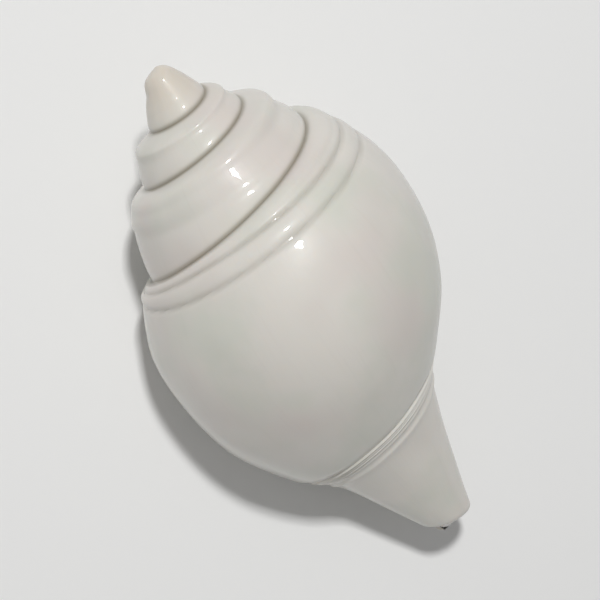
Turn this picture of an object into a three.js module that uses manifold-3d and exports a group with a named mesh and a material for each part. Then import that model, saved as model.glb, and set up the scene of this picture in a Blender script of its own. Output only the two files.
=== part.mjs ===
// A sacred chank (conch) shell: one grown piece, about 120 mm long, coiled right-handed.
// It lies on its aperture side as it would on a table: +Z is up, +X points from the apex to the canal.
//
// The shell is first drawn about its own coil axis, with the apex at the origin and the canal at -Z.
// "turn" counts whorls back from the outer lip: 0 is the lip, 1 is one whorl earlier, 4 is the apex.
// Each cross-section is a curve of radius and height; it shrinks and climbs as the turn goes up.
import * as THREE from 'three';
import { mergeVertices } from 'three/addons/utils/BufferGeometryUtils.js';
import Module from 'manifold-3d';

// ---------- driving dimensions, millimetres ----------

// Where each whorl starts, every half turn from one whorl past the lip back to the apex: radius and
// depth of the suture, the width and drop of the shoulder just below it, and how far the side bulges,
// as a part of the distance between two sutures.
const STATIONS = [
  { turn: -1.0, radius: 35.7, depth: 68.2, shoulder: 3.0, drop: 1.8, bulge: 0.14 },
  { turn: -0.5, radius: 33.0, depth: 56.3, shoulder: 3.0, drop: 1.8, bulge: 0.14 },
  { turn: 0.0, radius: 26.5, depth: 41.5, shoulder: 4.0, drop: 2.3, bulge: 0.135 },
  { turn: 0.5, radius: 21.4, depth: 27.8, shoulder: 4.1, drop: 2.1, bulge: 0.135 },
  { turn: 1.0, radius: 16.7, depth: 22.1, shoulder: 4.6, drop: 1.8, bulge: 0.13 },
  { turn: 1.5, radius: 12.3, depth: 16.3, shoulder: 4.8, drop: 1.9, bulge: 0.115 },
  { turn: 2.0, radius: 8.6, depth: 11.7, shoulder: 4.9, drop: 1.9, bulge: 0.15 },
  { turn: 2.5, radius: 6.8, depth: 9.9, shoulder: 3.1, drop: 1.4, bulge: 0.11 },
  { turn: 3.0, radius: 5.0, depth: 5.0, shoulder: 0.3, drop: 0.3, bulge: 0.045 },
  { turn: 3.5, radius: 2.7, depth: 1.4, shoulder: 0.0, drop: 0.0, bulge: 0.04 },
  { turn: 4.0, radius: 0.0, depth: 0.0, shoulder: 0.0, drop: 0.0, bulge: 0.13 },
];
// Rows below the widest part, at the lip: radius, depth, how many times smaller one turn back,
// and how far the row climbs in that turn.
const BASE_ROWS = [
  { radius: 33.1, depth: 84.2, ratio: 1.285, climb: 26.6 }, // underside of the body whorl
  { radius: 25.7, depth: 97.6, ratio: 1.60, climb: 27.7 },  // foot of the body whorl
  { radius: 21.8, depth: 99.5, ratio: 1.60, climb: 28.6 },  // upper ridge of the neck
  { radius: 18.5, depth: 102.8, ratio: 1.62, climb: 23.3 }, // lower ridge of the neck
  { radius: 10.7, depth: 114.6, ratio: 1.56, climb: 5.9 },  // middle of the canal
  { radius: 7.0, depth: 119.8, ratio: 1.44, climb: -5.1 },  // end of the canal
];
const SIDE_PLACE = 0.56;       // place of the side's fullest point between the two sutures
const DOME_START = 2.4;        // from here the whorls lose their shoulder, and by DOME_END
const DOME_END = 3.2;          // they make one smooth dome
const DOME_ROUNDING = 0.8;     // its bulge where the shoulder would be, as a part of its full bulge
const APEX_TURN = 4;

const WALL = 3.2;              // wall of the body whorl
const CANAL_WALL = 2.0;        // wall of the canal
const WALL_THINS = [6, 8];     // rows over which the one wall thins into the other
const CALLUS = 0.8;            // glaze laid on the inner side of the aperture
const CALLUS_REACH = 0.07;     // turns that it spreads out of the aperture
const CALLUS_STARTS = [3, 3.4]; // rows over which it thickens
const CALLUS_ENDS = [6.5, 8];  // rows over which it thins away
const PLAITS = 3;              // folds round the columella
const PLAIT_HEIGHT = 1.3;
const CHAMBER_END = 0.34;      // turns that the open chamber is carried inward
const CHAMBER_DOME = 0.12;     // turns over which its inner end closes in a dome

const LEAN = 9.2;              // degrees that the coil axis is tipped, apex up, when it lies still
const ROLL = 224.7;            // degrees that it is rolled about its coil axis, lip and belly down
const WORN = 0.3;              // depth of the two worn flats that it rests on

// ---------- facets ----------
const COLUMNS_PER_TURN = 48;
const ROW_STEPS = [2, 3, 3, 2, 3, 1, 2, 3, 2]; // facets between one row and the next, top to canal
const GRAIN = 1e-4;                             // vertices snap to this grid, so seams close
const APEX_TIP = 0.3;                           // facets nearer than this to the apex run into it
const SLIVER = 0.005;                           // edges shorter than this are closed up after a cut
const SIDE_ROWS = 3;                            // rows that a spire whorl shows: top to next suture

const { clamp, lerp, smoothstep, degToRad } = THREE.MathUtils;
const TURN = 2 * Math.PI;

// ---------- the cross-section ----------

function lineOf(first, second) {
  return new THREE.SplineCurve(STATIONS.map((s) => new THREE.Vector2(first(s), second(s))));
}
const sutureLine = lineOf((s) => s.radius, (s) => -s.depth);
const shoulderLine = lineOf((s) => s.shoulder, (s) => -s.drop);
const bulgeLine = lineOf((s) => s.bulge, () => 0);
const atTurn = (line, turn) => line.getPoint(clamp((turn + 1) / (APEX_TURN + 1), 0, 1));
const plainness = (turn) => smoothstep(turn, DOME_START, DOME_END);

function baseRow(row, turn) {
  return new THREE.Vector2(row.radius * row.ratio ** -turn, row.climb * turn - row.depth);
}

// Suture, shoulder, fullest side and next suture.
function sideRows(turn) {
  const top = atTurn(sutureLine, turn);
  const bottom = atTurn(sutureLine, turn - 1);
  const side = bottom.clone().sub(top);
  const outward = new THREE.Vector2(-side.y, side.x).multiplyScalar(atTurn(bulgeLine, turn).x);
  const full = top.clone().addScaledVector(side, SIDE_PLACE).add(outward);
  const shoulder = atTurn(shoulderLine, turn).add(top)
    .addScaledVector(side, (SIDE_PLACE / 2) * plainness(turn))
    .addScaledVector(outward, DOME_ROUNDING * plainness(turn));
  return [top, shoulder, full, bottom];
}

// The first row under the next suture. In the spire it is hidden, and shrinks with the whorl's side;
// on the dome it runs on into the next whorl.
function underRow(turn) {
  const row = BASE_ROWS[0];
  if (turn <= 1) return baseRow(row, turn);
  const [top, bottom] = [atTurn(sutureLine, turn), atTurn(sutureLine, turn - 1)];
  const [oldTop, oldBottom] = [atTurn(sutureLine, 1), atTurn(sutureLine, 0)];
  const shrink = top.distanceTo(bottom) / oldTop.distanceTo(oldBottom);
  bottom.addScaledVector(baseRow(row, 1).sub(oldBottom), shrink);
  return bottom.lerp(sideRows(turn - 1)[1], plainness(turn - 1));
}

// Section rows from the suture down: the side, and then the base.
function sectionRows(turn) {
  return [...sideRows(turn), underRow(turn), ...BASE_ROWS.slice(1).map((row) => baseRow(row, turn))];
}

const LAST_ROW = SIDE_ROWS + BASE_ROWS.length;
const APEX = new THREE.Vector2(0, 0);
const sections = new Map();
function sectionAt(turn) {
  if (!sections.has(turn)) sections.set(turn, new THREE.SplineCurve(sectionRows(turn)));
  return sections.get(turn);
}

// A point of the section, moved out along its normal by the given distance.
function sectionPoint(turn, row, out = 0) {
  const place = clamp(row / LAST_ROW, 0, 1);
  const section = sectionAt(turn);
  const point = section.getPoint(place);
  if (out === 0) return point;
  const tangent = section.getTangent(place);
  return point.add(new THREE.Vector2(-tangent.y, tangent.x).multiplyScalar(out));
}

// From radius and height to space. Turning forward is clockwise seen from the apex.
function inSpace(turn, point) {
  const angle = TURN * turn;
  return [point.x * Math.cos(angle), point.x * Math.sin(angle), point.y];
}

// ---------- rounding of the lip and the callus ----------

const wallAt = (row) => lerp(WALL, CANAL_WALL, smoothstep(row, ...WALL_THINS));

// How far a quarter round of this radius has fallen away at a distance from its start.
function quarterRound(distance, radius) {
  const rest = clamp(1 - distance / radius, 0, 1);
  return radius * (1 - Math.sqrt(1 - rest * rest));
}

function outerPoint(turn, row) {
  const plain = sectionPoint(turn, row);
  if (turn > 1) return plain;
  const radius = (wallAt(row) / 2) * smoothstep(row, 0, 1);
  const rounding = radius > 0 ? quarterRound(TURN * plain.x * turn, radius) : 0;
  const callus = CALLUS * smoothstep(turn, 1 - CALLUS_REACH, 1) * smoothstep(row, ...CALLUS_STARTS)
    * (1 - smoothstep(row, ...CALLUS_ENDS));
  return sectionPoint(turn, row, callus - rounding);
}

// ---------- closed sheets ----------

// Vertices closer than this are merged; triangles that collapse, or come to lie back to back, go.
function welded(loose, distance) {
  const merged = mergeVertices(loose, distance);
  const faces = new Map();
  for (let k = 0; k < merged.index.count; k += 3) {
    const face = [0, 1, 2].map((n) => merged.index.getX(k + n));
    const corners = [...new Set(face)].sort((a, b) => a - b);
    if (corners.length < 3) continue;
    const key = corners.join();
    if (!faces.delete(key)) faces.set(key, face);
  }
  return merged.setIndex([...faces.values()].flat());
}

class Sheet {
  positions = [];
  triangles = [];

  add(point) {
    this.positions.push(...point.map((value) => Math.round(value / GRAIN) * GRAIN));
    return this.positions.length / 3 - 1;
  }

  // columns: arrays of vertex numbers, each read downward, laid side by side as the turn goes up
  skin(columns, closed = false) {
    for (let i = 0; i + 1 < columns.length; i += 1) {
      const [left, right] = [columns[i], columns[i + 1]];
      const rows = closed ? left.length : left.length - 1;
      for (let j = 0; j < rows; j += 1) {
        const next = (j + 1) % left.length;
        this.triangles.push([left[j], left[next], right[next]], [left[j], right[next], right[j]]);
      }
    }
  }

  // A flat face in a plane through the axis, that looks forward, toward the lip.
  cap(numbers, outline) {
    for (const [a, b, c] of THREE.ShapeUtils.triangulateShape(outline, [])) {
      const [p, q, r] = [outline[a], outline[b], outline[c]];
      const leftHanded = q.clone().sub(p).cross(r.clone().sub(p)) < 0;
      const face = leftHanded ? [a, c, b] : [a, b, c];
      this.triangles.push(face.map((k) => numbers[k]));
    }
  }

  geometry() {
    const loose = new THREE.BufferGeometry();
    loose.setAttribute('position', new THREE.Float32BufferAttribute(this.positions, 3));
    loose.setIndex(this.triangles.flat());
    return welded(loose, GRAIN);
  }
}

// ---------- the outside ----------

// Columns stand closer at the start of a turn, where the lip is rounded over.
const TURN_PARTS = [0, 0.0025, 0.007];
for (let k = 1; k < COLUMNS_PER_TURN; k += 1) TURN_PARTS.push(k / COLUMNS_PER_TURN);

function turnsBetween(first, last) {
  const turns = [];
  for (let whole = first; whole < last; whole += 1) turns.push(...TURN_PARTS.map((p) => whole + p));
  return [...turns, last];
}

function rowList(lastRow) {
  const rows = [0];
  ROW_STEPS.slice(0, lastRow).forEach((steps, k) => {
    for (let n = 1; n <= steps; n += 1) rows.push(k + n / steps);
  });
  return rows;
}

function outsideGeometry() {
  const sheet = new Sheet();
  const columnAt = (turn, rows) => rows.map((row) => {
    const point = outerPoint(turn, row);
    return sheet.add(inSpace(turn, point.length() < APEX_TIP ? APEX : point));
  });

  const bodyRows = rowList(LAST_ROW);
  const body = turnsBetween(0, 1).map((turn) => columnAt(turn, bodyRows));
  sheet.skin(body);

  const spireRows = rowList(SIDE_ROWS);
  sheet.skin(turnsBetween(1, APEX_TURN + 1).map((turn) => columnAt(turn, spireRows)));

  // the far end of the canal, closed from one point of its rim
  const rim = body.map((column) => column.at(-1));
  for (let k = 0; k + 2 < rim.length; k += 1) sheet.triangles.push([rim.at(-1), rim[k + 1], rim[k]]);

  // the step between the lip and the whorl behind it, in the plane of the aperture
  const seam = spireRows.length - 1;
  const lip = body[0].map((number, k) => [number, outerPoint(0, bodyRows[k])]);
  const wall = body.at(-1).map((number, k) => [number, outerPoint(1, bodyRows[k])]);
  const ring = [...lip, ...wall.slice(seam + 1).reverse()];
  sheet.cap(ring.map(([number]) => number), ring.map(([, point]) => point));
  return sheet.geometry();
}

// ---------- the open chamber ----------

const CHAMBER_START = -0.14;   // turns in front of the aperture plane: open air, and the open canal
const CANAL_TURNS = 0.5;       // how far round the canal's channel fades out
const CANAL_OVERRUN = 9;       // the channel is cut this far past the end of the canal
const STAND_OFF = 10;          // clearance to the whorl behind, per turn in front of the aperture plane
const STAND_OFF_ENDS = [6.8, 7.8]; // rows over which that clearance ends
const CANAL_OPENS = [7.2, 8.4]; // rows over which the columella side sinks to the canal's floor
const CANAL_FLOOR = 1.5;       // how near the coil axis the channel is cut
const OUTER_STEPS = 13;        // facets along the inner side of the outer wall, from this row down
const OUTER_START = 1.3;
const SEAT = 0.02;             // the chamber's sides stand this far off the sections they follow
const PLAIT_ROW = 7.08;        // row of the first fold, counted on the columella
const PLAIT_SPACING = 0.17;
const PLAIT_WIDTH = 0.045;
const PLAIT_START = 0.03;      // turns inside the aperture where the folds reach their height
const LAST_PLAIT_ROW = PLAIT_ROW + (PLAITS - 0.5) * PLAIT_SPACING;

const pastEnd = (row) => new THREE.Vector2(0, -CANAL_OVERRUN * Math.max(row - LAST_ROW, 0) * 2);

function plaitOut(turn, row) {
  let out = 0;
  for (let k = 0; k < PLAITS; k += 1) {
    const away = (row - PLAIT_ROW - k * PLAIT_SPACING) / PLAIT_WIDTH;
    out += PLAIT_HEIGHT * Math.exp(-away * away);
  }
  return out * smoothstep(turn, 0, PLAIT_START);
}

// The inner side of the outer wall. Near the lip it flares to meet the rounded edge.
function lipSidePoint(turn, row) {
  const wall = wallAt(row);
  const plain = sectionPoint(turn, row);
  const flare = quarterRound(TURN * plain.x * Math.max(turn, 0), wall / 2);
  return sectionPoint(turn, row, flare - wall + SEAT).add(pastEnd(row));
}

// The side toward the axis: the whorl behind, its glaze, the columella and the floor of the canal.
function columellaSidePoint(turn, row) {
  const lifted = CALLUS + SEAT + plaitOut(turn, row);
  const point = sectionPoint(turn + 1, row, lifted).add(pastEnd(row));
  point.x += STAND_OFF * Math.max(-turn, 0) * (1 - smoothstep(row, ...STAND_OFF_ENDS));
  const hollowing = smoothstep(row, ...CANAL_OPENS) * (1 - smoothstep(turn, 0, CANAL_TURNS));
  point.x = lerp(point.x, CANAL_FLOOR, hollowing);
  return point;
}

function chamberOutline(turn) {
  const end = LAST_ROW + 0.5;
  const outline = [];
  for (let k = 0; k <= OUTER_STEPS; k += 1) {
    outline.push(lipSidePoint(turn, lerp(OUTER_START, end, k / OUTER_STEPS)));
  }
  const rows = [3.35, 3.7, 4, 4.4, 4.8, 5.1, 5.5, 6, 6.5];
  for (let row = PLAIT_ROW - PLAIT_SPACING / 2; row <= LAST_PLAIT_ROW; row += PLAIT_SPACING / 2) {
    rows.push(row);
  }
  for (const part of [0.15, 0.3, 0.5, 0.75, 1]) rows.push(lerp(LAST_PLAIT_ROW, end, part));
  for (const row of rows.reverse()) outline.push(columellaSidePoint(turn, row));

  // drawn in toward its middle, and to one point where the chamber ends
  const closing = clamp((turn - CHAMBER_END) / CHAMBER_DOME + 1, 0, 1);
  const middle = new THREE.Vector2();
  outline.forEach((point) => middle.addScaledVector(point, 1 / outline.length));
  return outline.map((point) => middle.clone().lerp(point, Math.sqrt(1 - closing * closing)));
}

function chamberGeometry() {
  const turns = [1, 0.7, 0.4, 0.1].map((part) => part * CHAMBER_START)
    .concat(turnsBetween(0, 1).filter((turn) => turn < CHAMBER_END), CHAMBER_END);
  const sheet = new Sheet();
  const outlines = turns.map(chamberOutline);
  const columns = outlines.map((outline, k) => outline.map((point) => sheet.add(inSpace(turns[k], point))));
  sheet.skin(columns, true);
  sheet.cap(columns[0], outlines[0]);
  return sheet.geometry();
}

// ---------- cutting, and laying it down ----------

const wasm = await Module();
wasm.setup();

function solidOf(geometry) {
  return new wasm.Manifold(new wasm.Mesh({
    numProp: 3,
    vertProperties: new Float32Array(geometry.getAttribute('position').array),
    triVerts: new Uint32Array(geometry.index.array),
  }));
}

function geometryOf(solid) {
  const mesh = solid.getMesh();
  const geometry = new THREE.BufferGeometry();
  geometry.setAttribute('position', new THREE.BufferAttribute(mesh.vertProperties, 3));
  geometry.setIndex(new THREE.BufferAttribute(mesh.triVerts, 1));
  return welded(geometry, SLIVER);
}

// Everything below the table top is worn away, which leaves a small flat on the lip and on the belly.
function wornAway(geometry) {
  const { min, max } = geometry.boundingBox;
  const size = max.clone().sub(min).multiplyScalar(2);
  const table = new THREE.BoxGeometry(size.x, size.y, size.z);
  table.deleteAttribute('normal').deleteAttribute('uv');
  table.translate((min.x + max.x) / 2, (min.y + max.y) / 2, min.z + WORN - size.z / 2);
  return mergeVertices(table);
}

const lying = new THREE.Matrix4().makeRotationFromEuler(
  new THREE.Euler(0, degToRad(LEAN - 90), degToRad(ROLL), 'YXZ'),
);
const outsideSolid = solidOf(outsideGeometry().applyMatrix4(lying));
const chamberSolid = solidOf(chamberGeometry().applyMatrix4(lying));
const hollow = outsideSolid.subtract(chamberSolid);

const standing = geometryOf(hollow);
standing.computeBoundingBox();
const geometry = geometryOf(hollow.subtract(solidOf(wornAway(standing))));

// the origin is under the middle of the shell, on the table
geometry.computeBoundingBox();
const { min, max } = geometry.boundingBox;
geometry.translate(-(min.x + max.x) / 2, -(min.y + max.y) / 2, -min.z);
geometry.computeVertexNormals();

const porcelain = new THREE.MeshStandardMaterial({ color: 0xcfccc4, roughness: 0.22, metalness: 0 });
const shell = new THREE.Mesh(geometry, porcelain);
shell.name = 'shell';

const group = new THREE.Group();
group.add(shell);

export default group;
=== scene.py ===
import math
from collections import namedtuple

import bmesh
import bpy
import numpy as np
from bpy.props import FloatProperty, FloatVectorProperty, IntProperty, PointerProperty
from bpy.types import Operator, Panel, PropertyGroup
from mathutils import Matrix, Vector
from mathutils.geometry import tessellate_polygon
from mathutils.kdtree import KDTree


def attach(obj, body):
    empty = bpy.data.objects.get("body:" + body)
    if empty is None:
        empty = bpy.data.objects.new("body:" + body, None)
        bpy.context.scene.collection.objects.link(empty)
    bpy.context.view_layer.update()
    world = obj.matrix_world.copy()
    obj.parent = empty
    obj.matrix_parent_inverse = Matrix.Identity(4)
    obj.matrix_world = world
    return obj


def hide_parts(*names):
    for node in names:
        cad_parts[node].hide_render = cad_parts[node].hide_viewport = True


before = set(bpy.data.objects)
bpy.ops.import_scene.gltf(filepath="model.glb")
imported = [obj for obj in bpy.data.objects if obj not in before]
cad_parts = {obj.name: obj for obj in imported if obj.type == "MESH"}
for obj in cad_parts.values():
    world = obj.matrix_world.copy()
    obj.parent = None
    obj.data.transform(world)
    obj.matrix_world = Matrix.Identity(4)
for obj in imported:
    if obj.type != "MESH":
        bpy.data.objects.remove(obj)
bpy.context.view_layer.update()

bl_info = {
    "name": "Conch Shell",
    "version": (1, 0, 0),
    "blender": (4, 5, 0),
    "location": "3D View > Sidebar > Conch",
    "description": "Builds a polished right-handed conch shell and a plain studio round its CAD frame",
    "category": "Add Mesh",
}

NODE = "shell"
BODY = "root"
MM = 0.001
TAU = 2 * math.pi

# ---------- the coil, in millimetres about its own axis: apex at the origin, canal at -Z ----------
# "turn" counts whorls back from the outer lip: 0 is the lip, 1 is one whorl earlier, 4 is the apex.

# turn, radius and depth of the suture, width and drop of the shoulder just below it, and how far the
# side bulges, as a part of the distance between two sutures
STATIONS = np.array([
    (-1.0, 35.7, 68.2, 3.0, 1.8, 0.14),
    (-0.5, 33.0, 56.3, 3.0, 1.8, 0.14),
    (0.0, 26.5, 41.5, 4.0, 2.3, 0.135),
    (0.5, 21.4, 27.8, 4.1, 2.1, 0.135),
    (1.0, 16.7, 22.1, 4.6, 1.8, 0.13),
    (1.5, 12.3, 16.3, 4.8, 1.9, 0.115),
    (2.0, 8.6, 11.7, 4.9, 1.9, 0.15),
    (2.5, 6.8, 9.9, 3.1, 1.4, 0.11),
    (3.0, 5.0, 5.0, 0.3, 0.3, 0.045),
    (3.5, 2.7, 1.4, 0.0, 0.0, 0.04),
    (4.0, 0.0, 0.0, 0.0, 0.0, 0.13),
])
# radius and depth at the lip, how many times smaller one turn back, and how far it climbs in that turn
BASE_ROWS = np.array([
    (33.1, 84.2, 1.285, 26.6),  # underside of the body whorl
    (25.7, 97.6, 1.60, 27.7),   # foot of the body whorl
    (21.8, 99.5, 1.60, 28.6),   # upper ridge of the neck
    (18.5, 102.8, 1.62, 23.3),  # lower ridge of the neck
    (10.7, 114.6, 1.56, 5.9),   # middle of the canal
    (7.0, 119.8, 1.44, -5.1),   # end of the canal
])
SIDE_PLACE = 0.56      # place of the side's fullest point between the two sutures
DOME = (2.4, 3.2)      # turns over which the whorls lose their shoulder and become one smooth dome
DOME_ROUNDING = 0.8    # the dome's bulge where the shoulder would be, as a part of its full bulge
APEX_TURN = 4
SIDE_ROWS = 3
LAST_ROW = SIDE_ROWS + len(BASE_ROWS)

# Fine ridges of the neck: the row of each and its height, as a part of the ridge height
NECK_RIDGES = ((5.62, 0.6), (5.95, 1.0), (6.24, 0.7), (6.52, 0.8), (6.76, 0.6), (7.0, 1.0))
NECK_RIDGE_WIDTH = 0.055
NECK_FILL_STARTS = (5.2, 6.1)   # rows over which the neck's fullness comes in
NECK_FILL_ENDS = (6.35, 7.5)    # rows over which it goes out

# Rows and turns over which the wall thins to the canal's, and the glaze comes in and goes out
WALL_THINS = (6, 8)
CALLUS_TURNS = (0.93, 1)
CALLUS_STARTS = (3, 3.4)
CALLUS_ENDS = (6.5, 8)

# How far below the suture the two spiral grooves run, every quarter turn back from the lip
GROOVES = np.array([
    (2.8, 4.6),
    (4.3, 9.2),
    (7.8, 12.6),
    (7.6, 12.2),
    (6.4, 11.0),
    (6.8, 11.6),
    (8.4, 13.6),
    (8.0, 12.6),
    (7.0, 10.0),
])
GROOVE_STEP = 0.25
GROOVE_AGES = (0.7, 1.15)    # turns over which the sharp grooves widen into broad hollows
GROOVE_WIDTHS = (0.5, 1.2)   # width of the sharp and of the broad
HOLLOW_DEPTH = 0.13
HOLLOWS_END = (1.6, 2.0)     # turns over which the hollows fade out

# How the coil lies on the table, and where its apex then is
LEAN = math.radians(9.2)
ROLL = math.radians(224.7)
APEX_PLACE = Vector((-61.147, 1.946, 35.902))
LYING = (
    Matrix.Translation(APEX_PLACE)
    @ Matrix.Rotation(LEAN - TAU / 4, 4, "Y")
    @ Matrix.Rotation(ROLL, 4, "Z")
)

ROW_COUNTS = (14, 22, 22, 12, 12, 28, 34, 16, 14)  # mesh rows between one section row and the next
END_STEPS = 6                                       # mesh rows round the end of the canal
GRAIN = 1e-4           # points snap to this grid, so that seams close
APEX_TIP = 0.12        # points nearer than this to the apex run into it
TIP_FULLNESS = 0.2     # how much wider the tip of the dome is, as a part of its radius
TIP_DEPTH = 2.8        # how far down from the apex that reaches
SLIVER = 0.004         # points closer than this are merged after the cut
SHARP_ANGLE = math.radians(40)

# Painted shade: dark lines painted along the sutures and spiral grooves, standing in for the shade that
# falls in these creases
Line = namedtuple("Line", "width depth")   # in metres, and as a part of full darkness
SUTURE_PAINTED_SHADE = Line(0.0007, 1.0)
GROOVE_PAINTED_SHADE = Line(0.0006, 0.45)


# ---------- small maths ----------

def smoothstep(value, low, high):
    part = np.clip((np.asarray(value, float) - low) / (high - low), 0.0, 1.0)
    return part * part * (3 - 2 * part)


def lerp(a, b, part):
    return a + (b - a) * part


def bell(value, centre, width):
    return np.exp(-(((value - centre) / width) ** 2))


def length(vectors):
    return np.linalg.norm(vectors, axis=-1, keepdims=True)


def spline(points, place):
    """Points and slopes of a Catmull-Rom spline; points is (n, 2) or (t, n, 2), place counts spans."""
    last = points.shape[-2] - 1
    span = np.clip(np.floor(place).astype(int), 0, last - 1)
    part = (place - span)[..., None]
    near = [np.clip(span + k, 0, last) for k in (-1, 0, 1, 2)]
    if points.ndim == 2:
        a, b, c, d = (points[k] for k in near)
    else:
        columns = np.arange(points.shape[0])[:, None]
        a, b, c, d = (points[columns, k] for k in near)
    start = (c - a) / 2
    end = (d - b) / 2
    cube = 2 * b - 2 * c + start + end
    square = -3 * b + 3 * c - 2 * start - end
    point = ((cube * part + square) * part + start) * part + b
    slope = (3 * cube * part + 2 * square) * part + start
    return point, slope


# ---------- the cross-section ----------

def station(turn, columns, signs=(1, -1)):
    place = np.clip((turn + 1) / (APEX_TURN + 1), 0, 1) * (len(STATIONS) - 1)
    return spline(STATIONS[:, columns] * signs, place)[0]


def suture(turn):
    return station(turn, [1, 2])


def base_row(k, turn):
    radius, depth, ratio, climb = BASE_ROWS[k]
    return np.stack([radius * ratio ** -turn, climb * turn - depth], -1)


def side_rows(turn):
    """Suture, shoulder, fullest side and next suture of each turn."""
    top = suture(turn)
    bottom = suture(turn - 1)
    side = bottom - top
    outward = np.stack([-side[:, 1], side[:, 0]], -1) * station(turn, [5], (1,))
    plain = smoothstep(turn, *DOME)[:, None]
    shoulder = top + station(turn, [3, 4]) + (side * SIDE_PLACE / 2 + outward * DOME_ROUNDING) * plain
    full = top + side * SIDE_PLACE + outward
    return top, shoulder, full, bottom


def section_rows(turn):
    """The side's rows and then the base's, for each turn."""
    top, shoulder, full, bottom = side_rows(turn)
    one = np.array([1.0])
    old_bottom = suture(one - 1)
    shrink = length(bottom - top) / length(old_bottom - suture(one))
    hidden = bottom + (base_row(0, one) - old_bottom) * shrink
    hidden = lerp(hidden, side_rows(turn - 1)[1], smoothstep(turn - 1, *DOME)[:, None])
    under = np.where(turn[:, None] <= 1, base_row(0, turn), hidden)
    base = [base_row(k, turn) for k in range(1, len(BASE_ROWS))]
    return np.stack([top, shoulder, full, bottom, under, *base], 1)


def section(turn, row, out=0.0):
    """Radius and height at each turn and row, moved out along the normal."""
    row = np.broadcast_to(row, (len(turn), np.shape(row)[-1]))
    point, slope = spline(section_rows(turn), np.clip(row, 0, LAST_ROW))
    normal = np.stack([-slope[..., 1], slope[..., 0]], -1) / np.maximum(length(slope), 1e-9)
    return point + normal * np.asarray(out)[..., None]


def in_space(turn, point):
    angle = TAU * turn[:, None]
    return np.stack([point[..., 0] * np.cos(angle), point[..., 0] * np.sin(angle), point[..., 1]], -1)


# ---------- relief on the outside ----------

def arc_below_suture(turn, row):
    """Length along the section from the suture down to each row, in millimetres."""
    steps = np.linspace(0, LAST_ROW, 40 * LAST_ROW + 1)
    line = section(turn, steps)
    run = np.cumsum(np.linalg.norm(np.diff(line, axis=1), axis=-1), axis=1)
    run = np.concatenate([np.zeros((len(turn), 1)), run], 1)
    row = np.broadcast_to(row, (len(turn), np.shape(row)[-1]))
    return np.stack([np.interp(r, steps, s) for r, s in zip(row, run)])


def cords(turn, row, sizes):
    """Two flat cords under the suture, each above a groove; up the spire they become broad hollows."""
    arc = arc_below_suture(turn, row)
    place = np.clip(turn / GROOVE_STEP, 0, len(GROOVES) - 1)
    upper, lower = (g[:, None] for g in spline(GROOVES, place)[0].T)
    age = smoothstep(turn, *GROOVE_AGES)[:, None]
    width = lerp(*GROOVE_WIDTHS, age)
    depth = lerp(sizes.groove_depth / MM, HOLLOW_DEPTH, age)
    depth = depth * (1 - smoothstep(turn, *HOLLOWS_END)[:, None])
    rise = -depth * (bell(arc, upper, width) + bell(arc, lower, width))
    rise += 0.7 * depth * bell(arc, upper * 0.62, upper * 0.3)
    rise += 0.7 * depth * bell(arc, (upper + lower) / 2, (lower - upper) * 0.34)
    rise -= 0.35 * depth * bell(arc, upper * 0.72, 0.3) * (1 - age)
    ends = smoothstep(row, 0, 0.5) * (1 - smoothstep(row, 2.5, 3)) + 0 * arc
    return rise * ends


def neck_ridges(row, sizes):
    """Fine ridges round the neck, on a band that fills the corner under the body whorl's foot."""
    row = np.asarray(row)
    fill = smoothstep(row, *NECK_FILL_STARTS) * (1 - smoothstep(row, *NECK_FILL_ENDS))
    rise = sizes.neck_fill / MM * fill
    for place, share in NECK_RIDGES:
        rise = rise + share * sizes.ridge_height / MM * bell(row, place, NECK_RIDGE_WIDTH)
    return rise


def unevenness(points, sizes):
    """The slow waviness of a surface that was ground and polished by hand."""
    waves = (
        ((0.31, 0.17, 0.12), 0.3),
        ((-0.14, 0.36, 0.09), 1.9),
        ((0.08, -0.22, 0.24), 4.1),
        ((0.42, 0.05, -0.31), 2.7),
        ((-0.27, -0.19, 0.33), 5.2),
    )
    total = sum(np.sin(points @ np.array(k) + phase) for k, phase in waves)
    return sizes.unevenness / MM * total / len(waves)


def quarter_round(distance, radius):
    """How far a quarter round has fallen away at a distance from its start."""
    safe = np.maximum(radius, 1e-9)
    rest = np.clip(1 - distance / safe, 0, 1)
    return radius * (1 - np.sqrt(1 - rest * rest))


def wall_at(row, sizes):
    return lerp(sizes.wall / MM, sizes.canal_wall / MM, smoothstep(row, *WALL_THINS))


def outer_grid(turn, row, sizes):
    """Points of the outside, with its lip rounded over and its callus laid on."""
    flat = np.broadcast_to(row, (len(turn), len(row)))
    plain = section(turn, flat)
    around = TAU * plain[..., 0] * turn[:, None]
    radius = wall_at(flat, sizes) / 2 * smoothstep(flat, 0, 1)
    rounding = np.where(turn[:, None] <= 1, quarter_round(around, radius), 0)
    callus = sizes.callus / MM * smoothstep(turn, *CALLUS_TURNS)[:, None] * smoothstep(flat, *CALLUS_STARTS)
    callus = callus * (1 - smoothstep(flat, *CALLUS_ENDS)) * (turn[:, None] <= 1)
    seams = smoothstep(flat, 0, 0.6) * (1 - np.where(turn[:, None] > 1, smoothstep(flat, 2.4, 3), 0))
    relief = cords(turn, flat, sizes) + np.where(flat > 4.5, neck_ridges(flat, sizes), 0)
    relief = relief + seams * unevenness(in_space(turn, plain), sizes)
    fade = 1 - callus / max(sizes.callus / MM, 1e-9)
    point = section(turn, flat, callus - rounding + relief * fade)
    point[..., 0] *= 1 + TIP_FULLNESS * bell(point[..., 1], 0.0, TIP_DEPTH)
    return np.where(length(point) < APEX_TIP, 0.0, point)


def end_rows(turn, column, sizes):
    """Rows that carry the skin over the rounded end of the canal."""
    down = column[:, -1] - column[:, -2]
    down = down / length(down)
    outward = np.stack([-down[:, 1], down[:, 0]], -1)
    radius = sizes.end_round / MM
    rows = []
    for k in range(1, END_STEPS + 1):
        angle = TAU / 4 * k / END_STEPS
        rows.append(column[:, -1] + radius * (down * math.sin(angle) - outward * (1 - math.cos(angle))))
    return np.concatenate([column, np.stack(rows, 1)], 1)


# ---------- closed sheets of triangles ----------

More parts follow.
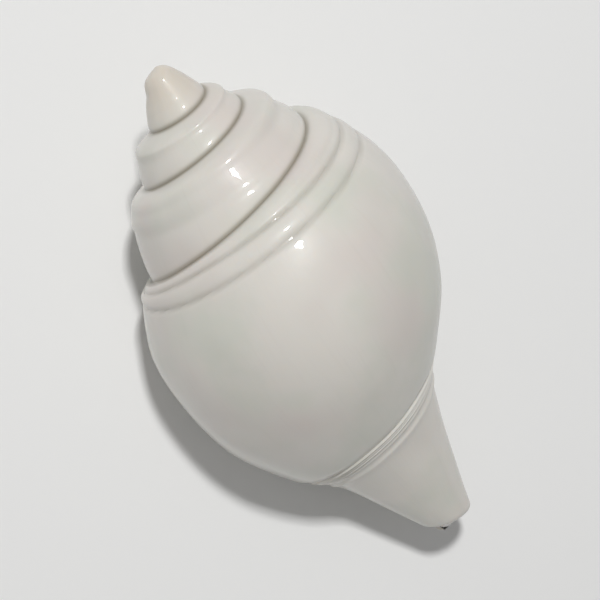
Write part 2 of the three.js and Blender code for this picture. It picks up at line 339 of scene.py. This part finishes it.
class Sheet:
    """Gathers points and triangles, then closes its seams."""

    def __init__(self):
        self.points = []
        self.faces = []
        self.count = 0

    def grid(self, points, closed=False):
        """Skins a grid of columns, each read downward; returns the numbers of its points."""
        columns, rows = points.shape[:2]
        numbers = self.count + np.arange(columns * rows).reshape(columns, rows)
        self.points.append(points.reshape(-1, 3))
        self.count += columns * rows
        below = np.roll(numbers, -1, axis=1) if closed else numbers[:, 1:]
        here = numbers if closed else numbers[:, :-1]
        left, left_down = here[:-1].ravel(), below[:-1].ravel()
        right, right_down = here[1:].ravel(), below[1:].ravel()
        self.faces.append(np.stack([left, left_down, right_down], 1))
        self.faces.append(np.stack([left, right_down, right], 1))
        return numbers

    def fan(self, numbers):
        tip = np.full(len(numbers) - 2, numbers[-1])
        self.faces.append(np.stack([tip, numbers[1:-1], numbers[:-2]], 1))

    def cap(self, numbers, outline, forward):
        """A flat face in a plane through the axis, that looks toward the lip or away from it."""
        ring = [Vector((x, z, 0)) for x, z in outline]
        for face in tessellate_polygon([ring]):
            p, q, r = (outline[k] for k in face)
            left_handed = (q[0] - p[0]) * (r[1] - p[1]) - (q[1] - p[1]) * (r[0] - p[0]) < 0
            a, b, c = (face[0], face[2], face[1]) if left_handed == forward else face
            self.faces.append(np.array([[numbers[a], numbers[b], numbers[c]]]))

    def mesh(self, name):
        """The sheet as a mesh laid on the table, in metres."""
        points = np.round(np.concatenate(self.points) / GRAIN).astype(np.int64)
        points, where = np.unique(points, axis=0, return_inverse=True)
        faces = where.reshape(-1)[np.concatenate(self.faces)]
        a, b, c = faces.T
        faces = faces[(a != b) & (b != c) & (c != a)]
        matrix = np.array(LYING)
        places = (points * GRAIN @ matrix[:3, :3].T + matrix[:3, 3]) * MM
        mesh = bpy.data.meshes.new(name)
        mesh.from_pydata(places.tolist(), [], faces.tolist())
        return mesh


def turns_between(first, last, count):
    """Turns of the columns, closer together at the start of each whorl, where the lip is rounded."""
    near = [0, 0.0006, 0.0014, 0.0026, 0.0042, 0.0062, 0.0090]
    step = 1 / count
    whole = near + [k * step for k in range(1, count) if k * step > 0.0095]
    turns = [start + part for start in range(first, last) for part in whole]
    return np.array([*turns, last], float)


def row_list(sections):
    parts = [k + np.arange(n) / n for k, n in enumerate(ROW_COUNTS[:sections])]
    return np.concatenate([*parts, [sections]])


def outside_mesh(sizes):
    sheet = Sheet()
    rows = row_list(LAST_ROW)
    turns = turns_between(0, 1, sizes.columns)
    body = end_rows(turns, outer_grid(turns, rows, sizes), sizes)
    numbers = sheet.grid(in_space(turns, body))

    side = row_list(SIDE_ROWS)
    old_turns = turns_between(1, APEX_TURN + 1, sizes.columns)
    sheet.grid(in_space(old_turns, outer_grid(old_turns, side, sizes)))

    sheet.fan(numbers[:, -1])
    seam = len(side) - 1
    ring = np.concatenate([numbers[0], numbers[-1, seam + 1:][::-1]])
    outline = np.concatenate([body[0], body[-1, seam + 1:][::-1]])
    sheet.cap(ring, outline, True)
    return sheet.mesh("shell_outside")


# ---------- the open chamber ----------

CHAMBER_START = -0.14    # turns in front of the lip's plane: open air, and the open canal
CHAMBER_END = 0.34       # turns that the chamber runs inward; past it the shell is left solid
CHAMBER_DOME = 0.12      # turns over which its inner end closes
CANAL_OVERRUN = 9        # the channel is cut this far past the end of the canal
STAND_OFF = 10           # clearance to the whorl behind, per turn in front of the lip's plane
STAND_OFF_ENDS = (6.8, 7.8)
CANAL_FLOOR = 1.5        # how near the coil axis the channel is cut
CANAL_OPENS = (7.2, 8.4)  # rows over which the columella side sinks to that floor
CANAL_TURNS = 0.5        # how far round the channel fades out
OUTER_START = 1.3        # row where the cut of the outer wall begins
OUTER_POINTS = 40
PLAITS = 3               # folds round the columella
PLAIT_ROW = 7.08
PLAIT_SPACING = 0.17
PLAIT_WIDTH = 0.045
PLAIT_START = 0.03       # turns inside the lip's plane where the folds reach their height
LAST_PLAIT_ROW = PLAIT_ROW + (PLAITS - 0.5) * PLAIT_SPACING
CLEAR = 0.02             # the chamber stands this far off the sections it follows


def past_end(row):
    drop = CANAL_OVERRUN * np.maximum(row - LAST_ROW, 0) * 2
    return np.stack([0 * drop, -drop], -1)


def lip_side(turn, row, sizes):
    """The inner side of the outer wall; near the lip it flares to meet the rounded edge."""
    flat = np.broadcast_to(row, (len(turn), len(row)))
    wall = wall_at(flat, sizes)
    plain = section(turn, flat)
    around = TAU * plain[..., 0] * np.maximum(turn, 0)[:, None]
    return section(turn, flat, quarter_round(around, wall / 2) - wall + CLEAR) + past_end(flat)


def columella_side(turn, row, sizes):
    """The whorl behind with its glaze, the folds of the columella and the floor of the canal."""
    flat = np.broadcast_to(row, (len(turn), len(row)))
    folds = sum(bell(flat, PLAIT_ROW + k * PLAIT_SPACING, PLAIT_WIDTH) for k in range(PLAITS))
    folds = folds * sizes.plait_height / MM * smoothstep(turn, 0, PLAIT_START)[:, None]
    point = section(turn + 1, flat, sizes.callus / MM + CLEAR + folds) + past_end(flat)
    stand_off = STAND_OFF * np.maximum(-turn, 0)[:, None] * (1 - smoothstep(flat, *STAND_OFF_ENDS))
    hollow = smoothstep(flat, *CANAL_OPENS) * (1 - smoothstep(turn, 0, CANAL_TURNS)[:, None])
    point[..., 0] = lerp(point[..., 0] + stand_off, CANAL_FLOOR, hollow)
    return point


def chamber_mesh(sizes):
    near = turns_between(0, 1, sizes.columns)
    turns = np.concatenate([np.array([1, 0.7, 0.4, 0.1]) * CHAMBER_START, near[near < CHAMBER_END]])
    outer_rows = np.linspace(OUTER_START, LAST_ROW + 0.5, OUTER_POINTS)
    folds = np.arange(PLAIT_ROW - PLAIT_SPACING / 2, LAST_PLAIT_ROW, PLAIT_SPACING / 10)
    inner_rows = np.concatenate([
        np.linspace(3.35, 6.8, 26),
        folds,
        np.linspace(LAST_PLAIT_ROW, LAST_ROW + 0.5, 14),
    ])[::-1]
    outline = np.concatenate(
        [lip_side(turns, outer_rows, sizes), columella_side(turns, inner_rows, sizes)], 1
    )
    closing = np.clip((turns - CHAMBER_END + CHAMBER_DOME) / CHAMBER_DOME, 0, 0.995)
    scale = np.sqrt(1 - closing ** 2)[:, None, None]
    middle = outline.mean(1, keepdims=True)
    outline = middle + (outline - middle) * scale
    sheet = Sheet()
    numbers = sheet.grid(in_space(turns, outline), closed=True)
    sheet.cap(numbers[0], outline[0], True)
    sheet.cap(numbers[-1], outline[-1], False)
    return sheet.mesh("shell_chamber")


def cut(piece, mesh):
    """Takes the chamber out of the piece."""
    cutter = bpy.data.objects.new(mesh.name, mesh)
    bpy.context.scene.collection.objects.link(cutter)
    modifier = piece.modifiers.new("chamber", "BOOLEAN")
    modifier.operation = "DIFFERENCE"
    modifier.solver = "MANIFOLD"
    modifier.object = cutter
    bpy.context.view_layer.objects.active = piece
    bpy.ops.object.modifier_apply(modifier=modifier.name)
    bpy.data.objects.remove(cutter)
    bpy.data.meshes.remove(mesh)


def rest_on_table(mesh):
    """Wears the two contact spots flat at the table top, closes up slivers and shades it smooth."""
    shell = bmesh.new()
    shell.from_mesh(mesh)
    for vertex in shell.verts:
        vertex.co.z = max(vertex.co.z, 0.0)
    bmesh.ops.remove_doubles(shell, verts=shell.verts, dist=SLIVER * MM)
    bmesh.ops.dissolve_degenerate(shell, edges=shell.edges, dist=1e-7)
    bmesh.ops.triangulate(shell, faces=shell.faces)
    open_edges = sum(1 for edge in shell.edges if len(edge.link_faces) != 2)
    shell.to_mesh(mesh)
    shell.free()
    mesh.shade_smooth()
    mesh.set_sharp_from_angle(angle=SHARP_ANGLE)
    print("shell triangles", len(mesh.polygons), "open edges", open_edges)


def mark_painted_crease_shade(mesh, sizes):
    """Stores on each vertex how near it is to a suture or a groove, for the painted shade line along it: a
    darker colour standing in for the shade in the crease.
    """
    turns = np.linspace(0.0, APEX_TURN - 1, 2200)
    place = np.clip(turns / GROOVE_STEP, 0, len(GROOVES) - 1)
    arcs = spline(GROOVES, place)[0]
    steps = np.linspace(0, SIDE_ROWS, 240)
    run = arc_below_suture(turns, steps)
    matrix = np.array(LYING)
    strength = np.zeros(len(mesh.vertices))
    lines = [(np.zeros_like(turns), 1 - smoothstep(turns, 2.6, 3.0), SUTURE_PAINTED_SHADE)]
    for arc in arcs.T:
        row = np.array([np.interp(a, r, steps) for a, r in zip(arc, run)])
        lines.append((row, 1 - smoothstep(turns, 0.6, 1.0), GROOVE_PAINTED_SHADE))
    for row, share, line in lines:
        points = in_space(turns, section(turns, row[:, None]))[:, 0] @ matrix[:3, :3].T + matrix[:3, 3]
        tree = KDTree(len(points))
        for k, point in enumerate(points * MM):
            tree.insert(point, k)
        tree.balance()
        for vertex in mesh.vertices:
            _, near, away = tree.find(vertex.co)
            here = line.depth * share[near] * math.exp(-((away / line.width) ** 2))
            strength[vertex.index] = max(strength[vertex.index], here)
    attribute = mesh.attributes.new("crease_painted_shade", "FLOAT", "POINT")
    attribute.data.foreach_set("value", strength.astype(np.float32))


# ---------- the finish ----------

class Nodes:
    """Makes and links the nodes of one material."""

    def __init__(self, material):
        self.tree = material.node_tree

    def add(self, kind, inputs=None, **settings):
        node = self.tree.nodes.new(kind)
        for name, value in settings.items():
            setattr(node, name, value)
        for name, value in (inputs or {}).items():
            self.put(value, node.inputs[name])
        return node

    def put(self, value, socket):
        if isinstance(value, bpy.types.NodeSocket):
            self.tree.links.new(value, socket)
        else:
            socket.default_value = value

    def math(self, operation, first, second=0.0):
        node = self.add("ShaderNodeMath", operation=operation)
        self.put(first, node.inputs[0])
        self.put(second, node.inputs[1])
        return node.outputs[0]

    def ramp(self, value, low, high, smooth=True):
        kind = "SMOOTHSTEP" if smooth else "LINEAR"
        node = self.add("ShaderNodeMapRange", {"Value": value}, interpolation_type=kind)
        node.inputs["From Min"].default_value = low
        node.inputs["From Max"].default_value = high
        return node.outputs[0]

    def blend(self, part, first, second):
        node = self.add("ShaderNodeMix", data_type="RGBA")
        self.put(part, node.inputs[0])
        self.put(first, node.inputs[6])
        self.put(second, node.inputs[7])
        return node.outputs[2]

    def noise(self, vector, scale, detail=2.0, roughness=0.5):
        inputs = {"Vector": vector, "Scale": scale, "Detail": detail, "Roughness": roughness}
        return self.add("ShaderNodeTexNoise", inputs).outputs[0]


def porcelain(colours):
    """Polished shell: porcelain-like, faintly clouded, with growth lines and a creamy apex."""
    material = bpy.data.materials.new("polished_shell")
    material.use_nodes = True
    nodes = Nodes(material)
    shader = material.node_tree.nodes["Principled BSDF"]

    place = nodes.add("ShaderNodeTexCoord").outputs["Object"]
    back = LYING.inverted() @ Matrix.Scale(1 / MM, 4)
    turn = back.to_euler()
    mapping = nodes.add("ShaderNodeMapping", {"Vector": place})
    mapping.inputs["Location"].default_value = back.translation
    mapping.inputs["Rotation"].default_value = turn
    mapping.inputs["Scale"].default_value = (1 / MM,) * 3
    coil = mapping.outputs[0]
    parts = nodes.add("ShaderNodeSeparateXYZ", {"Vector": coil}).outputs
    angle = nodes.math("ARCTAN2", parts["Y"], parts["X"])
    height = parts["Z"]

    clouds = nodes.noise(coil, 0.05, 3.0)
    drifts = nodes.noise(coil, 0.033, 2.0)
    colour = nodes.blend(nodes.ramp(clouds, 0.42, 0.68), colours.glaze, colours.green_tint)
    colour = nodes.blend(nodes.ramp(drifts, 0.5, 0.72), colour, colours.blush_tint)
    creamy = nodes.ramp(height, -13.0, -3.0)
    colour = nodes.blend(nodes.math("MULTIPLY", creamy, 0.8), colour, colours.apex_cream)

    line = nodes.add("ShaderNodeCombineXYZ", {"X": nodes.math("MULTIPLY", angle, 26.0)})
    nodes.put(nodes.math("MULTIPLY", height, 0.05), line.inputs["Y"])
    growth = nodes.noise(line.outputs[0], 1.0, 3.0, 0.6)
    lines = nodes.math("MULTIPLY", nodes.ramp(growth, 0.5, 0.8), 0.10)
    colour = nodes.blend(lines, colour, colours.growth_line)
    # Painted shade: darkens the base colour along the sutures and grooves, where shade falls in the creases
    crease_painted_shade = nodes.add("ShaderNodeAttribute", attribute_name="crease_painted_shade").outputs["Fac"]
    colour = nodes.blend(nodes.math("MULTIPLY", crease_painted_shade, 0.75), colour, colours.painted_crease_shade)
    nodes.put(colour, shader.inputs["Base Color"])

    fine = nodes.noise(coil, 1.6, 3.0)
    rough = nodes.math("MULTIPLY_ADD", fine, 0.06)
    rough.node.inputs[2].default_value = 0.34
    nodes.put(rough, shader.inputs["Roughness"])
    swirl = nodes.math("ADD", nodes.math("MULTIPLY", growth, 0.6), nodes.noise(coil, 0.35, 2.0))
    bump = nodes.add("ShaderNodeBump", {"Height": swirl, "Strength": 0.12, "Distance": 0.0002})
    nodes.put(bump.outputs[0], shader.inputs["Normal"])

    shader.inputs["IOR"].default_value = 1.53
    shader.inputs["Specular IOR Level"].default_value = 0.2
    shader.inputs["Subsurface Weight"].default_value = 0.25
    shader.inputs["Subsurface Radius"].default_value = (1.0, 0.75, 0.55)
    shader.inputs["Subsurface Scale"].default_value = 0.0015
    shader.inputs["Coat Weight"].default_value = 0.5
    shader.inputs["Coat Roughness"].default_value = 0.04
    shader.inputs["Coat IOR"].default_value = 1.5
    return material


# ---------- what a user can set ----------

def distance(name, description, default):
    return FloatProperty(name=name, description=description, default=default, min=0.0, unit="LENGTH")


def tint(name, description, default):
    return FloatVectorProperty(
        name=name, description=description, default=(*default, 1.0), size=4, subtype="COLOR", min=0, max=1
    )


class ConchSizes(PropertyGroup):
    """Sizes of the shell's walls and relief."""

    columns: IntProperty(name="Columns", description="Mesh columns round one whorl", default=180, min=40)
    wall: distance("Wall", "Thickness of the body whorl's wall", 0.0032)
    canal_wall: distance("Canal wall", "Thickness of the canal's wall", 0.002)
    callus: distance("Callus", "Thickness of the glaze on the aperture's inner side", 0.0008)
    plait_height: distance("Plaits", "Height of the folds on the columella", 0.0013)
    groove_depth: distance("Grooves", "Depth of the spiral grooves under the suture", 0.00042)
    ridge_height: distance("Neck ridges", "Height of the fine ridges round the neck", 0.0004)
    neck_fill: distance("Neck fill", "Fullness of the neck under the body whorl's foot", 0.0012)
    end_round: distance("Canal end", "Radius of the rounded end of the canal", 0.0016)
    unevenness: distance("Unevenness", "Height of the slow waves left by hand polishing", 0.00012)


class ConchColours(PropertyGroup):
    """Colours of the shell."""

    glaze: tint("Glaze", "Main ivory white", (0.78, 0.75, 0.695))
    green_tint: tint("Green tint", "Faint grey-green clouds", (0.715, 0.715, 0.645))
    blush_tint: tint("Blush tint", "Faint pinkish-beige drifts", (0.745, 0.695, 0.65))
    apex_cream: tint("Apex cream", "Cream of the worn apex", (0.73, 0.665, 0.575))
    # Painted shade: a dark olive-brown painted along the sutures and grooves, where shade falls in the
    # creases
    painted_crease_shade: tint("Crease", "Shade in the sutures and grooves", (0.24, 0.205, 0.14))
    growth_line: tint("Growth line", "Growth lines across the whorls", (0.62, 0.58, 0.53))


class ConchStudio(PropertyGroup):
    """The floor, the light and the camera."""

    floor_colour: tint("Floor", "Colour of the floor", (0.90, 0.90, 0.89))
    key_power: FloatProperty(
        name="Key power", description="Power of the key light", default=7.3, unit="POWER"
    )
    key_size: distance("Key size", "Side of the key light's square", 0.09)
    key_distance: distance("Key distance", "From the shell's middle to the key light", 1.1)
    fill: FloatProperty(name="Fill", description="Strength of the even light all round", default=0.33, min=0)
    low_light: tint("Low light", "Colour of the even light near the horizon", (0.42, 0.42, 0.43))
    high_light: tint("High light", "Colour of the even light overhead", (1.0, 1.0, 1.0))
    lens: FloatProperty(name="Lens", description="Focal length of the camera", default=150.1, unit="CAMERA")
    camera_distance: distance("Camera distance", "From the aim point to the camera", 0.546)


# ---------- operators ----------

class CONCH_OT_shell(Operator):
    """Build the shell as one fine mesh that stands for its CAD solid"""

    bl_idname = "conch.shell"
    bl_label = "Shell"

    def execute(self, context):
        sizes = context.scene.conch_sizes
        mesh = outside_mesh(sizes)
        piece = bpy.data.objects.new("polished_shell", mesh)
        context.scene.collection.objects.link(piece)
        cut(piece, chamber_mesh(sizes))
        rest_on_table(piece.data)
        # Painted shade: marks where the sutures and grooves are darkened in the colour
        mark_painted_crease_shade(piece.data, sizes)
        if not piece.data.polygons:
            raise RuntimeError("the chamber could not be cut out of the shell")
        piece.data.materials.clear()
        piece.data.materials.append(porcelain(context.scene.conch_colours))
        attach(piece, BODY)
        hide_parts(NODE)
        return {"FINISHED"}


CAMERA_SIDE = Vector((-0.1691, -0.1900, 0.9671))
CAMERA_UP = Vector((-0.8044, 0.5936, -0.0240))
AIM = Vector((-0.00106, 0.00097, 0.02461))
KEY_SIDE = Vector((-0.386, 0.074, 0.92))
FLOOR_SIDE = 6.0


def looking(place, side, up):
    """A matrix at place that looks against side, with its top toward up."""
    across = up.cross(side).normalized()
    top = side.cross(across).normalized()
    turned = Matrix((across, top, side.normalized())).transposed()
    return Matrix.Translation(place) @ turned.to_4x4()


def plain_material(name, colour, roughness):
    material = bpy.data.materials.new(name)
    material.use_nodes = True
    shader = material.node_tree.nodes["Principled BSDF"]
    shader.inputs["Base Color"].default_value = colour
    shader.inputs["Roughness"].default_value = roughness
    return material


class CONCH_OT_stage(Operator):
    """Lay the pale floor, and set up the soft light and the camera"""

    bl_idname = "conch.stage"
    bl_label = "Stage"

    def execute(self, context):
        studio = context.scene.conch_studio
        scene = context.scene
        half = FLOOR_SIDE / 2
        mesh = bpy.data.meshes.new("floor")
        corners = [(-half, -half, 0), (half, -half, 0), (half, half, 0), (-half, half, 0)]
        mesh.from_pydata(corners, [], [(0, 1, 2, 3)])
        mesh.materials.append(plain_material("floor_paper", studio.floor_colour, 0.8))
        floor = bpy.data.objects.new("floor", mesh)
        scene.collection.objects.link(floor)

        world = bpy.data.worlds.new("even_light")
        world.use_nodes = True
        sky = Nodes(world)
        over = sky.add("ShaderNodeTexCoord").outputs["Generated"]
        upward = sky.add("ShaderNodeSeparateXYZ", {"Vector": over}).outputs["Z"]
        sky.put(
            sky.blend(sky.ramp(upward, 0.0, 1.0), studio.low_light, studio.high_light),
            world.node_tree.nodes["Background"].inputs["Color"],
        )
        world.node_tree.nodes["Background"].inputs["Strength"].default_value = studio.fill
        scene.world = world

        key = bpy.data.lights.new("key", "AREA")
        key.size = studio.key_size
        key.energy = studio.key_power
        lamp = bpy.data.objects.new("key", key)
        lamp.matrix_world = looking(AIM + KEY_SIDE * studio.key_distance, KEY_SIDE, CAMERA_UP)
        scene.collection.objects.link(lamp)

        lens = bpy.data.cameras.new("camera")
        lens.lens = studio.lens
        lens.sensor_width = 36.0
        camera = bpy.data.objects.new("camera", lens)
        camera.matrix_world = looking(AIM + CAMERA_SIDE * studio.camera_distance, CAMERA_SIDE, CAMERA_UP)
        scene.collection.objects.link(camera)
        scene.camera = camera
        scene.view_settings.view_transform = "Standard"
        return {"FINISHED"}


class CONCH_PT_panel(Panel):
    """The shell's and the studio's settings"""

    bl_idname = "CONCH_PT_panel"
    bl_label = "Conch shell"
    bl_space_type = "VIEW_3D"
    bl_region_type = "UI"
    bl_category = "Conch"

    def draw(self, context):
        layout = self.layout
        groups = (
            (CONCH_OT_shell, context.scene.conch_sizes),
            (CONCH_OT_shell, context.scene.conch_colours),
            (CONCH_OT_stage, context.scene.conch_studio),
        )
        for operator, settings in groups:
            box = layout.box()
            for name in settings.__annotations__:
                box.prop(settings, name)
            box.operator(operator.bl_idname)


CLASSES = (ConchSizes, ConchColours, ConchStudio, CONCH_OT_shell, CONCH_OT_stage, CONCH_PT_panel)


def register():
    for cls in CLASSES:
        bpy.utils.register_class(cls)
    bpy.types.Scene.conch_sizes = PointerProperty(type=ConchSizes)
    bpy.types.Scene.conch_colours = PointerProperty(type=ConchColours)
    bpy.types.Scene.conch_studio = PointerProperty(type=ConchStudio)


def unregister():
    del bpy.types.Scene.conch_studio
    del bpy.types.Scene.conch_colours
    del bpy.types.Scene.conch_sizes
    for cls in reversed(CLASSES):
        bpy.utils.unregister_class(cls)


def main():
    register()
    bpy.ops.conch.shell()
    bpy.ops.conch.stage()


if __name__ == "__main__":
    main()
